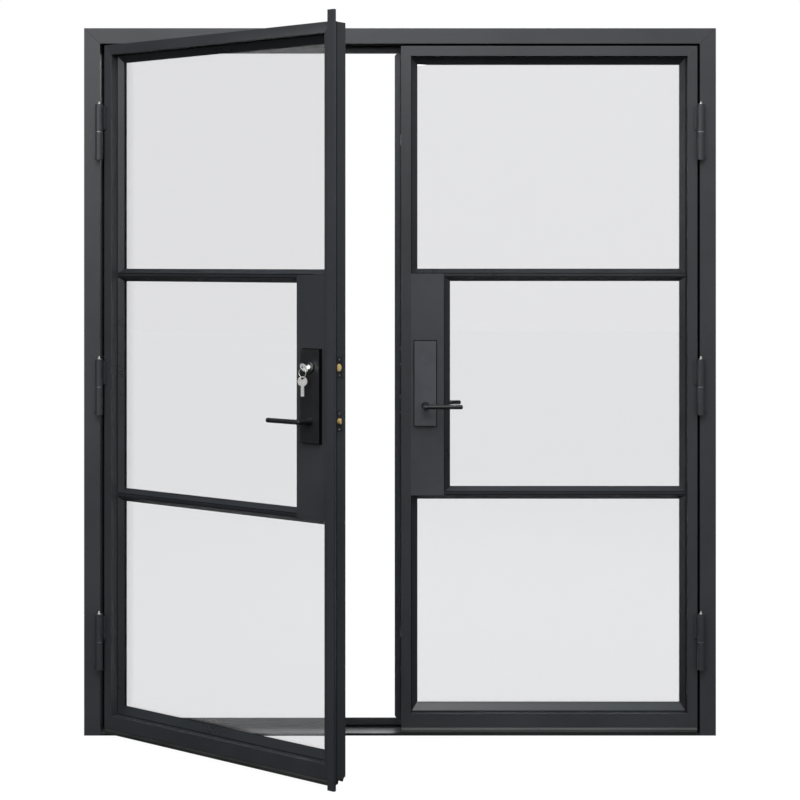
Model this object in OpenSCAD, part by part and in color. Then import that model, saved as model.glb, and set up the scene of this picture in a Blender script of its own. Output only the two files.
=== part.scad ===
// Pair of outward-opening steel and glass doors in their steel frame.
// X runs along the wall, Y into the building, Z up. The origin is the middle of
// the sill's underside. Every leaf piece is drawn once, closed, from its hinge
// axis: u runs to the meeting edge, v from front to back, z up.

/* [Frame] */
// Overall width of the frame
frame_w = 1829; // [1500:1:2200]
// Overall height of the frame
frame_h = 2048; // [1900:1:2400]
// Depth of the frame tubes
frame_d = 95; // [85:1:140]
// Face width of each jamb
jamb_face = 46; // [35:1:70]
// Face height of the head
head_face = 45; // [35:1:70]
// Wall of the frame tubes
frame_wall = 2; // [1.5:0.5:4]
// Room behind the leaf for the seal on the welded stop
stop_gap = 6; // [5:0.5:12]
// Thickness of the stop
stop_t = 5; // [4:1:8]
// How far the stop stands into the opening
stop_reach = 22; // [18:1:30]
// Width of the rubber seal on the stop
seal_w = 7; // [6:1:12]
// Height of the sill at its front edge
sill_front_h = 7; // [5:1:9]
// Height of the sill behind the leaf
sill_back_h = 15; // [12:1:17]
// Radius of the wall fixing holes
fixing_r = 5; // [4:0.5:6]
// Height of the lowest wall fixing
fixing_z = 200; // [150:1:400]
// Distance from the lowest to the highest wall fixing
fixing_span = 1600; // [1200:1:1650]

/* [Leaf] */
// Thickness of the leaf
leaf_t = 52; // [50:0.5:56]
// Face width of the stiles
stile_face = 29; // [25:1:45]
// Face height of the top rail
top_rail_face = 29; // [25:1:45]
// Face height of the bottom rail
bottom_rail_face = 40; // [30:1:120]
// Wall of the leaf tubes
leaf_wall = 2; // [1.5:0.5:3]
// Gap between jamb and leaf
hinge_gap = 7.5; // [6:0.5:9]
// Gap between head and leaf
head_gap = 6.5; // [4:0.5:8]
// Gap between the two leaves
meeting_gap = 6; // [6:0.5:8]
// Height of the leaf's lower edge above the floor
leaf_lift = 24.5; // [24:0.5:30]
// How far the leaf's face stands in front of the frame's
leaf_proud = 1; // [0.6:0.1:2]
// Angle at which the active leaf stands open
open_deg = 37.5; // [0:0.5:90]

/* [Glazing] */
// Depth of the beads, from their front edge to the glass
bead_d = 12; // [8:0.5:14]
// Width of the slope of the beads along the stiles
bead_side_w = 16; // [12:0.5:18]
// Width of the slope of the bead under the top rail
bead_top_w = 19.5; // [12:0.5:22]
// Width of the slope of the bead on the bottom rail, where blocks carry the glass
bead_bottom_w = 23; // [12:0.5:26]
// Width of the slope of the beads along the glazing bars
bead_bar_w = 11.5; // [11:0.5:14]
// Shadow groove between a bead and the section beside it
bead_groove = 2; // [1:0.5:3]
// Height of a glazing bar's front edge
bar_face = 7; // [5:0.5:12]
// Thickness of each sheet of glass
glass_t = 3.5; // [3:0.5:4]
// Cavity between the two sheets
cavity_t = 6; // [5:0.5:6.5]
// Width of the spacer along the edge of the glass
spacer_w = 10; // [7:0.5:10]
// Thickness of the fin that holds the glass at the back
fin_t = 3.5; // [3:0.5:4]
// How far the rear fin stands past the section
fin_reach = 14; // [12:0.5:16]
// Distance of the glass edge from the section beside it
glass_edge_gap = 3; // [2:0.5:5]

/* [Hinges] */
// Outer radius of a hinge barrel
barrel_r = 11; // [9:0.5:12]
// Radius of a hinge pin
hinge_pin_r = 6; // [5:0.5:7]
// Clearance between a hinge barrel and the frame's face
barrel_clear = 3; // [2.5:0.5:5]
// Length of the knuckle on the leaf
leaf_knuckle_h = 79; // [60:1:100]
// Length of the knuckle on the frame
frame_knuckle_h = 80; // [60:1:100]
// Distance of the outer hinges from the leaf's ends
hinge_inset = 250; // [180:1:350]
// Thickness of the collar on which the leaf turns
collar_t = 1.5; // [1:0.5:3]

/* [Lock] */
// Width of the lock panel from the leaf's edge
lock_panel_w = 124; // [115:1:160]
// Distance of the lock's centre from the leaf's edge
backset = 70; // [60:1:80]
// Height of the lever above the floor
lever_z = 956; // [900:1:1050]
// Distance of the key cylinder above the lever
lock_centres = 140; // [130:1:150]
// Width of an escutcheon
plate_w = 63; // [55:1:75]
// Height of an escutcheon
plate_h = 245; // [230:1:280]
// Thickness of an escutcheon
plate_t = 12; // [8:0.5:14]
// Height of the escutcheon above the centre of the key cylinder
plate_over = 46.5; // [35:0.5:60]
// Diameter of the lever's bar
lever_d = 13; // [9:0.5:14]
// Length of the lever from the spindle to its tip
lever_len = 107; // [90:1:140]
// Clear distance between escutcheon and lever bar
lever_gap = 41; // [36:1:55]
// Length of the lever's tail behind the spindle
lever_tail = 9; // [6:1:12]
// Radius of the key cylinder
cylinder_r = 16; // [14:0.5:18]
// Radius of the turning plug
plug_r = 7; // [6:0.5:8]
// Radius of the deadbolt
deadbolt_r = 10; // [8:0.5:10.5]
// How far the latch stands out
latch_out = 11; // [9:0.5:12]
// Radius of the flush bolts
flush_bolt_r = 5; // [4:0.5:6]

/* [Meeting edge] */
// Width of the astragal
astragal_w = 22; // [20:0.5:35]
// Thickness of the astragal
astragal_t = 9.5; // [6:0.5:12]
// How far the astragal laps past the leaf's edge
astragal_lap = 11; // [9:0.5:14]
// How far the astragal stands above the leaf
astragal_over = 29; // [0:1:35]
// How far the astragal hangs below the leaf
astragal_under = 23; // [0:1:24]
// How far the rear lip laps past the meeting edge
lip_lap = 18.5; // [12:0.5:22]
// Thickness of the rear lip
lip_t = 4; // [3:0.5:4.5]

/* [Hidden] */
$fn = 48;
// Clearance between pieces that move past each other
slide_clear = 0.3;
// Radial clearance of a shaft in its bearing
run_clear = 0.05;
// How far a cutting body runs past the face that it cuts
eps = 1;
far = 3000;

front_y = -frame_d / 2;
stop_back = leaf_t - leaf_proud + stop_gap;
axis_stand = barrel_r + barrel_clear;
head_z = frame_h - head_face;
axis_x = frame_w / 2 - jamb_face;
axis_y = front_y - axis_stand;
// The frame's face and the leaf's face, measured from the hinge axis
leaf_v = axis_stand - leaf_proud;
edge_u = axis_x - meeting_gap / 2;
leaf_u = hinge_gap;
leaf_top = head_z - head_gap;
seal_front = leaf_t - leaf_proud + slide_clear;

black = [0.16, 0.16, 0.17];
rubber = [0.06, 0.06, 0.07];
steel = [0.75, 0.75, 0.76];
brass = [0.82, 0.66, 0.3];
glass_tint = [0.78, 0.86, 0.86, 0.35];

// Rectangles [left, bottom, right, top] in the plane of a leaf
leaf_rect = [leaf_u, leaf_lift, edge_u, leaf_top];
sight = [leaf_u + stile_face, leaf_lift + bottom_rail_face,
         edge_u - stile_face, leaf_top - top_rail_face];
// The panes share the height in equal parts, to the nearest half millimetre
third = round(2 * (sight[3] - sight[1]) / 3) / 2;
bar_low = sight[1] + third;
bar_high = sight[1] + 2 * third;
panel_u = edge_u - lock_panel_w;
panes = [
    [sight[0], sight[1], sight[2], bar_low - bar_face / 2],
    [sight[0], bar_low + bar_face / 2, panel_u, bar_high - bar_face / 2],
    [sight[0], bar_high + bar_face / 2, sight[2], sight[3]]
];
// Flat front edge, blunt toe and groove depth of a bead
bead_edge = 1;
bead_toe = 1;
bead_groove_d = 6;
// The glass lies on its bed against the rear fin, and the bead is in front of it
glass_bed = 0.5;
fin_front = leaf_t - fin_t;
glass_back = fin_front - glass_bed;
glass_front = glass_back - 2 * glass_t - cavity_t;
reveal_d = glass_front - bead_d;
// Slopes of each pane's beads at the left, bottom, right and top
bead_widths = [
    [bead_side_w, bead_bottom_w, bead_side_w, bead_bar_w],
    [bead_side_w, bead_bar_w, bead_side_w, bead_bar_w],
    [bead_side_w, bead_bar_w, bead_side_w, bead_top_w]
];

lock_u = edge_u - backset;
cylinder_z = lever_z + lock_centres;
plate_top = cylinder_z + plate_over;
plate_bottom = plate_top - plate_h;
lock_case_wall = 1.8;
lock_case_r = deadbolt_r + lock_case_wall;
latch_r = 8;
faceplate_w = 25;
faceplate_h = 57;
screw_pitch = 41;
screw_r = 2;
screw_head_r = 3.6;
screw_head_t = 1;
screw_len = 14;
spindle_a = 8;
spindle_in = 20;
neck_r = 8;
neck_base_r = 11.5;
neck_base_t = 9;
disc_r = 18;
disc_groove = 1;
cylinder_out = 4;
plug_out = 1.5;
turn_r = 13;
turn_len = 18;
turn_grip_w = 8;
tail_w = 5;
tail_t = 2;
tail_in = 6;
tail_clear = 0.2;
turn_base_t = 5;
key_shoulder = 4;
key_t = 2.2;
key_bow_r = 13;
key_blade_w = 8.5;
key_ring_r = 12.5;
key_wire_r = 0.9;
key_hole_r = 4;
// The key stands a little turned in the lock, leaning to the hinges
key_lean = 35;
ring_drop = 1.6;
strike_t = 2;
strike_w = 34;
strike_pitch = 44;
pocket_w = 2 * deadbolt_r + 2;
pocket_h = 30;
hinge_zs = [leaf_lift + hinge_inset, (leaf_lift + leaf_top) / 2, leaf_top - hinge_inset];
tab_t = 5;
tab_h = 66;
tab_reach = 18;
hinge_pin_half = 50;
nipple_h = 8;
nipple_r = 3;
lip_end_gap = 1;
sweep_front_h = 9;
sweep_plate_t = 3;
sweep_v0 = 0.5;
sweep_v1 = 48;
sweep_fin_t = 2.5;
sweep_fins = [sweep_v0, 17, 43];
sweep_clear = 1;
bolt_u = edge_u - stile_face / 2;
bolt_v = leaf_t / 2;
bolt_len = 300;
bolt_throw = 20;
bolt_back = 2;
thumb_w = 8;
thumb_h = 30;
guide_clear = 0.3;

// ---------- Shared shapes ----------

// A flat outline in X and Z, given depth from y0 to y1
module slab(points, y0, y1) {
    translate([0, y1, 0]) rotate([90, 0, 0]) linear_extrude(y1 - y0) polygon(points);
}

module box(a, b) {
    translate(a) cube([b[0] - a[0], b[1] - a[1], b[2] - a[2]]);
}

// A rod of radius r along Y from y0 to y1
module rod_y(x, z, r, y0, y1) {
    translate([x, y0, z]) rotate([-90, 0, 0]) cylinder(r = r, h = y1 - y0);
}

// A rod of radius r along X from x0 to x1
module rod_x(y, z, r, x0, x1) {
    translate([x0, y, z]) rotate([0, 90, 0]) cylinder(r = r, h = x1 - x0);
}

function inset(q, d) = [q[0] + d, q[1] + d, q[2] - d, q[3] - d];

// One mitred side of the ring between an outer and an inner rectangle
function side_left(o, i) = [[o[0], o[1]], [i[0], i[1]], [i[0], i[3]], [o[0], o[3]]];
function side_right(o, i) = [[o[2], o[1]], [o[2], o[3]], [i[2], i[3]], [i[2], i[1]]];
function side_bottom(o, i) = [[o[0], o[1]], [o[2], o[1]], [i[2], i[1]], [i[0], i[1]]];
function side_top(o, i) = [[o[0], o[3]], [i[0], i[3]], [i[2], i[3]], [o[2], o[3]]];

// Puts a leaf piece in its place: the active leaf on the left, open, or the
// inactive leaf on the right, closed
module on_left() {
    translate([-axis_x, axis_y, 0]) rotate([0, 0, -open_deg]) children();
}

module on_right() {
    mirror([1, 0, 0]) translate([-axis_x, axis_y, 0]) children();
}

// Lifts leaf coordinates, whose v starts at the leaf's face, to the hinge axis
module in_leaf() {
    translate([0, leaf_v, 0]) children();
}

// ---------- Frame ----------

// Anchor holes through jamb and wall plug, behind the stop
fixing_y = front_y + (stop_back + stop_t + frame_d) / 2;

module fixing_holes(x0, x1) {
    for (z = [fixing_z, fixing_z + fixing_span]) rod_x(fixing_y, z, fixing_r, x0, x1);
}

module jamb_left() {
    difference() {
        slab([[-frame_w / 2, 0], [-axis_x, 0], [-axis_x, head_z], [-frame_w / 2, frame_h]],
             front_y, -front_y);
        box([-frame_w / 2 + frame_wall, front_y + frame_wall, -eps],
            [-axis_x - frame_wall, -front_y - frame_wall, frame_h + eps]);
        fixing_holes(-frame_w / 2 - eps, -axis_x + eps);
    }
}

module frame_jamb_left() { color(black) jamb_left(); }
module frame_jamb_right() { color(black) mirror([1, 0, 0]) jamb_left(); }

bolt_x = axis_x - bolt_u;
bolt_y = axis_y + leaf_v + bolt_v;
keeper_clear = 1.8;

// Square keeper hole for a flush bolt
module keeper_cut(z, h) {
    a = flush_bolt_r + keeper_clear;
    translate([bolt_x - a, bolt_y - a, z]) cube([2 * a, 2 * a, h]);
}

module frame_head() {
    color(black) difference() {
        slab([[-axis_x, head_z], [axis_x, head_z], [frame_w / 2, frame_h], [-frame_w / 2, frame_h]],
             front_y, -front_y);
        box([-frame_w, front_y + frame_wall, head_z + frame_wall],
            [frame_w, -front_y - frame_wall, frame_h - frame_wall]);
        keeper_cut(head_z - eps, frame_wall + 2 * eps);
    }
}

stop_outer = [-axis_x, sill_back_h, axis_x, head_z];
stop_inner = inset(stop_outer, stop_reach);
stop_y = front_y + stop_back;

module frame_stops() {
    color(black) {
        slab(side_left(stop_outer, stop_inner), stop_y, stop_y + stop_t);
        slab(side_right(stop_outer, stop_inner), stop_y, stop_y + stop_t);
        slab(side_top(stop_outer, stop_inner), stop_y, stop_y + stop_t);
        slab(side_bottom(stop_outer, stop_inner), stop_y, stop_y + stop_t);
    }
}

// Height of the sill at a distance behind the frame's face
function sill_z(d) = sill_front_h + (sill_back_h - sill_front_h) * d / stop_back;

module frame_sill() {
    color(black) difference() {
        rotate([90, 0, 90]) translate([0, 0, -axis_x]) linear_extrude(2 * axis_x)
            difference() {
                polygon([[front_y, 0], [-front_y, 0], [-front_y, sill_back_h],
                         [stop_y, sill_back_h], [front_y, sill_front_h]]);
                polygon([[front_y + frame_wall, frame_wall], [-front_y - frame_wall, frame_wall],
                         [-front_y - frame_wall, sill_back_h - frame_wall],
                         [stop_y, sill_back_h - frame_wall],
                         [front_y + frame_wall, sill_front_h - frame_wall]]);
            }
        keeper_cut(2 * frame_wall, sill_back_h);
    }
}

module frame_seals() {
    o = stop_outer;
    i = inset(stop_outer, seal_w);
    y0 = front_y + seal_front;
    color(rubber) {
        slab(side_left(o, i), y0, stop_y);
        slab(side_right(o, i), y0, stop_y);
        slab(side_top(o, i), y0, stop_y);
        slab(side_bottom(o, i), y0, stop_y);
    }
}

// ---------- Hinges ----------

module frame_knuckles_at_axis() {
    for (z = hinge_zs) translate([0, 0, z - collar_t / 2 - frame_knuckle_h]) {
        difference() {
            union() {
                cylinder(r = barrel_r, h = frame_knuckle_h);
                box([-tab_reach, leaf_v - tab_t, (frame_knuckle_h - tab_h) / 2],
                    [-hinge_pin_r, axis_stand, (frame_knuckle_h + tab_h) / 2]);
            }
            translate([0, 0, frame_knuckle_h + collar_t / 2 - hinge_pin_half])
                cylinder(r = hinge_pin_r, h = hinge_pin_half);
        }
    }
}

module left_frame_knuckles() {
    color(black) translate([-axis_x, axis_y, 0]) frame_knuckles_at_axis();
}

module right_frame_knuckles() {
    color(black) on_right() frame_knuckles_at_axis();
}

module hinge_pins() {
    color(steel) for (x = [-axis_x, axis_x], z = hinge_zs) translate([x, axis_y, z]) {
        translate([0, 0, -hinge_pin_half]) cylinder(r = hinge_pin_r, h = 2 * hinge_pin_half);
        translate([0, 0, -collar_t / 2]) cylinder(r = barrel_r - 1, h = collar_t);
    }
}

leaf_knuckle_z = collar_t / 2 + slide_clear;

module leaf_knuckles_at_axis() {
    for (z = hinge_zs) translate([0, 0, z + leaf_knuckle_z]) {
        difference() {
            union() {
                cylinder(r = barrel_r, h = leaf_knuckle_h);
                box([hinge_pin_r, leaf_v - tab_t, (leaf_knuckle_h - tab_h) / 2],
                    [tab_reach, leaf_v, (leaf_knuckle_h + tab_h) / 2]);
            }
            translate([0, 0, -eps])
                cylinder(r = hinge_pin_r + run_clear, h = hinge_pin_half + slide_clear + eps);
            translate([0, 0, leaf_knuckle_h - nipple_h])
                cylinder(r = nipple_r - 1, h = nipple_h + eps);
        }
    }
}

module left_leaf_knuckles() { color(black) on_left() leaf_knuckles_at_axis(); }
module right_leaf_knuckles() { color(black) on_right() leaf_knuckles_at_axis(); }

// Grease nipple: a stem in the knuckle, a hexagon and a round head
module nipples_at_axis() {
    for (z = hinge_zs) translate([0, 0, z + leaf_knuckle_z + leaf_knuckle_h]) {
        translate([0, 0, -nipple_h]) cylinder(r = nipple_r - 1, h = nipple_h + 1);
        cylinder(r = nipple_r + 1, h = 2.5, $fn = 6);
        cylinder(r = nipple_r - 1.2, h = 5.5);
        translate([0, 0, nipple_h - 2.4]) sphere(r = 2.4);
    }
}

module left_hinge_nipples() { color(steel) on_left() nipples_at_axis(); }
module right_hinge_nipples() { color(steel) on_right() nipples_at_axis(); }

// ---------- Leaf sections ----------

module screw_holes(z, pitch, u0, u1) {
    for (s = [-1, 1]) rod_x(leaf_t / 2, z + s * pitch / 2, screw_r, u0, u1);
}

// Openings in the leaf's edge for the two locks
module edge_cut(z) {
    box([edge_u - stile_face / 2, (leaf_t - faceplate_w) / 2, z - faceplate_h / 2],
        [edge_u + eps, (leaf_t + faceplate_w) / 2, z + faceplate_h / 2]);
}

// Round openings through both inner walls of the stile and the panel beside it
module case_cut(z) {
    rod_x(leaf_t / 2, z, lock_case_r + slide_clear, panel_u + leaf_wall + eps, edge_u - leaf_wall);
}

module hinge_stile() {
    in_leaf() {
        difference() {
            slab(side_left(leaf_rect, sight), 0, leaf_t);
            box([leaf_u + leaf_wall, leaf_wall, leaf_lift - eps],
                [sight[0] - leaf_wall, leaf_t - leaf_wall, leaf_top + eps]);
        }
        slab(side_left(sight, inset(sight, fin_reach)), fin_front, leaf_t);
    }
}

module meeting_stile_blank() {
    difference() {
        slab(side_right(leaf_rect, sight), 0, leaf_t);
        box([sight[2] + leaf_wall, leaf_wall, leaf_lift - eps],
            [edge_u - leaf_wall, leaf_t - leaf_wall, leaf_top + eps]);
    }
    slab(side_right([sight[0], bar_high + bar_face / 2, sight[2], sight[3]],
                    [sight[0] + fin_reach, bar_high + bar_face / 2,
                     sight[2] - fin_reach, sight[3] - fin_reach]), fin_front, leaf_t);
    slab(side_right([sight[0], sight[1], sight[2], bar_low - bar_face / 2],
                    [sight[0] + fin_reach, sight[1] + fin_reach,
                     sight[2] - fin_reach, bar_low - bar_face / 2]), fin_front, leaf_t);
}

module active_meeting_stile() {
    in_leaf() difference() {
        meeting_stile_blank();
        for (z = [lever_z, cylinder_z]) {
            edge_cut(z);
            case_cut(z);
        }
    }
}

// The inactive stile has strike pockets and a slot for each flush bolt's thumb slide
module inactive_meeting_stile() {
    in_leaf() difference() {
        meeting_stile_blank();
        for (z = [lever_z, cylinder_z]) {
            box([edge_u - stile_face + leaf_wall + eps, (leaf_t - pocket_w) / 2, z - pocket_h / 2],
                [edge_u + eps, (leaf_t + pocket_w) / 2, z + pocket_h / 2]);
            screw_holes(z, strike_pitch, edge_u - leaf_wall - eps, edge_u + eps);
        }
        for (z = [top_thumb_z, bottom_thumb_z - bolt_throw])
            box([edge_u - leaf_wall - eps, bolt_v - thumb_w / 2 - guide_clear, z - thumb_h / 2 - 1],
                [edge_u + eps, bolt_v + thumb_w / 2 + guide_clear,
                 z + thumb_h / 2 + bolt_throw + 1]);
    }
}

module top_rail() {
    in_leaf() {
        difference() {
            slab(side_top(leaf_rect, sight), 0, leaf_t);
            box([0, leaf_wall, sight[3] + leaf_wall],
                [far, leaf_t - leaf_wall, leaf_top - leaf_wall]);
        }
        slab(side_top(sight, inset(sight, fin_reach)), fin_front, leaf_t);
    }
}

module bottom_rail() {
    in_leaf() {
        difference() {
            slab(side_bottom(leaf_rect, sight), 0, leaf_t);
            box([0, leaf_wall, leaf_lift + leaf_wall],
                [far, leaf_t - leaf_wall, sight[1] - leaf_wall]);
        }
        slab(side_bottom(sight, inset(sight, fin_reach)), fin_front, leaf_t);
    }
}

// A flush bolt leaves the rail through a guide hole
module bolt_guide(z) {
    in_leaf() translate([bolt_u, bolt_v, z - eps])
        cylinder(r = flush_bolt_r + guide_clear, h = leaf_wall + 2 * eps);
}

// Each bar is a web with a fin above and below; beside the lock panel a fin runs
// on to the stile on the panel's outer side
module glazing_bar(z, u_below, u_above) {
    z0 = z - bar_face / 2;
    z1 = z + bar_face / 2;
    box([sight[0], reveal_d, z0], [panel_u, fin_front, z1]);
    box([sight[0] + fin_reach, fin_front, z0], [panel_u, leaf_t, z1]);
    box([sight[0] + fin_reach, fin_front, z1], [u_above - fin_reach, leaf_t, z1 + fin_reach]);
    box([sight[0] + fin_reach, fin_front, z0 - fin_reach], [u_below - fin_reach, leaf_t, z0]);
}

module glazing_bars() {
    in_leaf() {
        glazing_bar(bar_low, sight[2], panel_u);
        glazing_bar(bar_high, panel_u, sight[2]);
    }
}

panel_z0 = bar_low - bar_face / 2;
panel_z1 = bar_high + bar_face / 2;

module lock_panel() {
    in_leaf() {
        difference() {
            box([panel_u, 0, panel_z0], [sight[2], leaf_t, panel_z1]);
            box([panel_u + leaf_wall, leaf_wall, panel_z0 + leaf_wall],
                [sight[2] - leaf_wall, leaf_t - leaf_wall, panel_z1 - leaf_wall]);
            rod_y(lock_u, lever_z, neck_r, -eps, leaf_t + eps);
        }
        box([panel_u - fin_reach, fin_front, panel_z0 + bar_face + fin_reach],
            [panel_u, leaf_t, panel_z1 - bar_face - fin_reach]);
    }
}

// Section across the space that two facing beads leave, from edge a to edge b,
// with slopes wa and wb wide; y is the depth
function bead_space(a, b, wa, wb) = let (g = bead_groove, r = bead_edge, f = glass_front) [
    [a + g + r, reveal_d - eps], [b - g - r, reveal_d - eps], [b - g - r, reveal_d],
    [b - g - wb, f - bead_toe], [b - g - wb, f + eps], [a + g + wa, f + eps],
    [a + g + wa, f - bead_toe], [a + g + r, reveal_d]
];

// The mitred beads of one pane: a ring with a groove outside and a sloped space inside
module bead_ring(q, w) {
    i = inset(q, bead_groove);
    o = inset(q, -eps);
    difference() {
        box([q[0], reveal_d, q[1]], [q[2], glass_front, q[3]]);
        difference() {
            box([o[0], reveal_d - eps, o[1]], [o[2], reveal_d + bead_groove_d, o[3]]);
            box([i[0], reveal_d - 2 * eps, i[1]], [i[2], glass_front, i[3]]);
        }
        intersection() {
            translate([0, 0, o[1]]) linear_extrude(o[3] - o[1])
                polygon(bead_space(q[0], q[2], w[0], w[2]));
            mirror([1, 0, -1]) translate([0, 0, o[0]]) linear_extrude(o[2] - o[0])
                polygon(bead_space(q[1], q[3], w[1], w[3]));
        }
    }
}

module beads() {
    in_leaf() for (k = [0 : 2]) bead_ring(panes[k], bead_widths[k]);
}

module sheets() {
    in_leaf() for (q = panes) {
        g = inset(q, glass_edge_gap);
        box([g[0], glass_front, g[1]], [g[2], glass_front + glass_t, g[3]]);
        box([g[0], glass_back - glass_t, g[1]], [g[2], glass_back, g[3]]);
    }
}

module spacers() {
    in_leaf() for (q = panes) {
        g = inset(q, glass_edge_gap);
        i = inset(g, spacer_w);
        difference() {
            box([g[0], glass_front + glass_t, g[1]], [g[2], glass_back - glass_t, g[3]]);
            box([i[0], glass_front, i[1]], [i[2], glass_back, i[3]]);
        }
    }
}

module left_hinge_stile() { color(black) on_left() hinge_stile(); }
module left_meeting_stile() { color(black) on_left() active_meeting_stile(); }
module left_top_rail() { color(black) on_left() top_rail(); }
module left_bottom_rail() { color(black) on_left() bottom_rail(); }
module left_glazing_bars() { color(black) on_left() glazing_bars(); }
module left_beads() { color(black) on_left() beads(); }
module left_glass() { color(glass_tint) on_left() sheets(); }
module left_spacers() { color(rubber) on_left() spacers(); }
module right_hinge_stile() { color(black) on_right() hinge_stile(); }
module right_meeting_stile() { color(black) on_right() inactive_meeting_stile(); }
module right_lock_panel() { color(black) on_right() lock_panel(); }
module right_glazing_bars() { color(black) on_right() glazing_bars(); }
module right_beads() { color(black) on_right() beads(); }
module right_glass() { color(glass_tint) on_right() sheets(); }
module right_spacers() { color(rubber) on_right() spacers(); }

// The active leaf's panel is also bored for the two lock cases and the plug
module left_lock_panel() {
    color(black) on_left() difference() {
        lock_panel();
        in_leaf() {
            case_cut(lever_z);
            case_cut(cylinder_z);
            rod_y(lock_u, cylinder_z, plug_r + eps, -eps, leaf_t + eps);
        }
    }
}

module right_top_rail() {
    color(black) on_right() difference() {
        top_rail();
        bolt_guide(leaf_top - leaf_wall);
    }
}

module right_bottom_rail() {
    color(black) on_right() difference() {
        bottom_rail();
        bolt_guide(leaf_lift);
    }
}

// ---------- Meeting edge ----------

// Clearance between one leaf and the bar that laps over it
lap_clear = 0.6;

module left_astragal() {
    u1 = edge_u + astragal_lap;
    z0 = leaf_lift - astragal_under;
    z1 = leaf_top + astragal_over;
    color(black) on_left() in_leaf() {
        box([u1 - astragal_w, -astragal_t, z0], [u1, -lap_clear, z1]);
        box([u1 - astragal_w, -lap_clear, leaf_lift], [edge_u, 0, leaf_top]);
    }
}

meeting_seal_t = 3;
meeting_seal_d = 14;

module left_meeting_seal() {
    color(rubber) on_left() in_leaf()
        box([edge_u, 0, leaf_lift], [edge_u + meeting_seal_t, meeting_seal_d, leaf_top]);
}

// The lip is a flat bar with round ends, held behind the inactive leaf
lip_z0 = stop_inner[1] + lip_end_gap;
lip_z1 = stop_inner[3] - lip_end_gap;
lip_u0 = edge_u - stile_face;
lip_u1 = edge_u + lip_lap;

module right_rear_lip() {
    r = lip_lap / 2;
    v0 = leaf_t + lap_clear;
    v1 = leaf_t + lip_t;
    color(black) on_right() in_leaf() {
        box([lip_u0, leaf_t, lip_z0], [edge_u, v0, lip_z1]);
        box([lip_u0, v0, lip_z0], [lip_u1 - r, v1, lip_z1]);
        box([lip_u1 - r, v0, lip_z0 + r], [lip_u1, v1, lip_z1 - r]);
        for (z = [lip_z0 + r, lip_z1 - r]) rod_y(lip_u1 - r, z, r, v0, v1);
    }
}

lip_seal_w = 5;

// Fins of the sweep end just above the sloping sill
module sweep() {
    in_leaf() {
        u0 = leaf_u + 1;
        u1 = edge_u - 1;
        z1 = leaf_lift;
        box([u0, sweep_v0, z1 - sweep_plate_t], [u1, sweep_v1, z1]);
        box([u0, sweep_v0, z1 - sweep_front_h], [u1, sweep_v0 + sweep_plate_t, z1 - sweep_plate_t]);
        for (v = sweep_fins)
            box([u0, v, sill_z(v + sweep_fin_t - leaf_proud) + sweep_clear],
                [u1, v + sweep_fin_t, z1 - sweep_plate_t]);
    }
}

module left_sweep() { color(rubber) on_left() sweep(); }

module right_leaf_seals() {
    color(rubber) on_right() {
        difference() {
            sweep();
            in_leaf() translate([bolt_u, bolt_v, 0])
                cylinder(r = flush_bolt_r + sweep_clear, h = leaf_lift + eps);
        }
        in_leaf() box([edge_u, leaf_t - lip_seal_w, lip_z0 + lip_lap],
                      [edge_u + 2, leaf_t, lip_z1 - lip_lap]);
    }
}

// ---------- Lock furniture ----------

module escutcheon_blank(v0, v1) {
    box([lock_u - plate_w / 2, v0, plate_bottom], [lock_u + plate_w / 2, v1, plate_top]);
}

module bored_plate(cylinder_hole) {
    difference() {
        escutcheon_blank(-plate_t, 0);
        rod_y(lock_u, lever_z, neck_r + slide_clear, -plate_t - eps, eps);
        rod_y(lock_u, cylinder_z, cylinder_hole, -plate_t - eps, eps);
    }
}

module left_outer_escutcheon() { color(black) on_left() in_leaf() bored_plate(cylinder_r); }

module left_inner_escutcheon() {
    color(black) on_left() in_leaf() translate([0, leaf_t, 0]) mirror([0, 1, 0])
        bored_plate(tail_w);
}

// The inactive leaf's plate has a blind disc, marked by a groove, for a cylinder
module blind_plate() {
    difference() {
        escutcheon_blank(-plate_t, 0);
        rod_y(lock_u, lever_z, neck_r + slide_clear, -plate_t - eps, eps);
        difference() {
            rod_y(lock_u, cylinder_z, disc_r, -plate_t - eps, disc_groove - plate_t);
            rod_y(lock_u, cylinder_z, disc_r - disc_groove, -plate_t - 2 * eps, 0);
        }
    }
}

module right_outer_escutcheon() { color(black) on_right() in_leaf() blind_plate(); }

module right_inner_escutcheon() {
    color(black) on_right() in_leaf() translate([0, leaf_t, 0]) mirror([0, 1, 0]) blind_plate();
}

// A lever on the front face; its neck runs through the escutcheon to the spindle
lever_v = -plate_t - lever_gap - lever_d / 2;

module lever() {
    difference() {
        union() {
            rod_y(lock_u, lever_z, neck_r, lever_v, 0);
            translate([lock_u, -plate_t - slide_clear - neck_base_t, lever_z])
                rotate([-90, 0, 0]) cylinder(r1 = neck_r, r2 = neck_base_r, h = neck_base_t);
            rod_x(lever_v, lever_z, lever_d / 2, lock_u - lever_len, lock_u + lever_tail);
        }
        box([lock_u - spindle_a / 2, -plate_t - spindle_in, lever_z - spindle_a / 2],
            [lock_u + spindle_a / 2, eps, lever_z + spindle_a / 2]);
    }
}

module outer_lever() { in_leaf() lever(); }

module inner_lever() {
    in_leaf() translate([0, leaf_t, 0]) mirror([0, 1, 0]) lever();
}

module spindle() {
    in_leaf() box([lock_u - spindle_a / 2, -plate_t - spindle_in, lever_z - spindle_a / 2],
                  [lock_u + spindle_a / 2, leaf_t + plate_t + spindle_in, lever_z + spindle_a / 2]);
}

module left_outer_lever() { color(black) on_left() outer_lever(); }
module left_inner_lever() { color(black) on_left() inner_lever(); }
module left_spindle() { color(steel) on_left() spindle(); }
module right_outer_lever() { color(black) on_right() outer_lever(); }
module right_inner_lever() { color(black) on_right() inner_lever(); }
module right_spindle() { color(steel) on_right() spindle(); }

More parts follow.
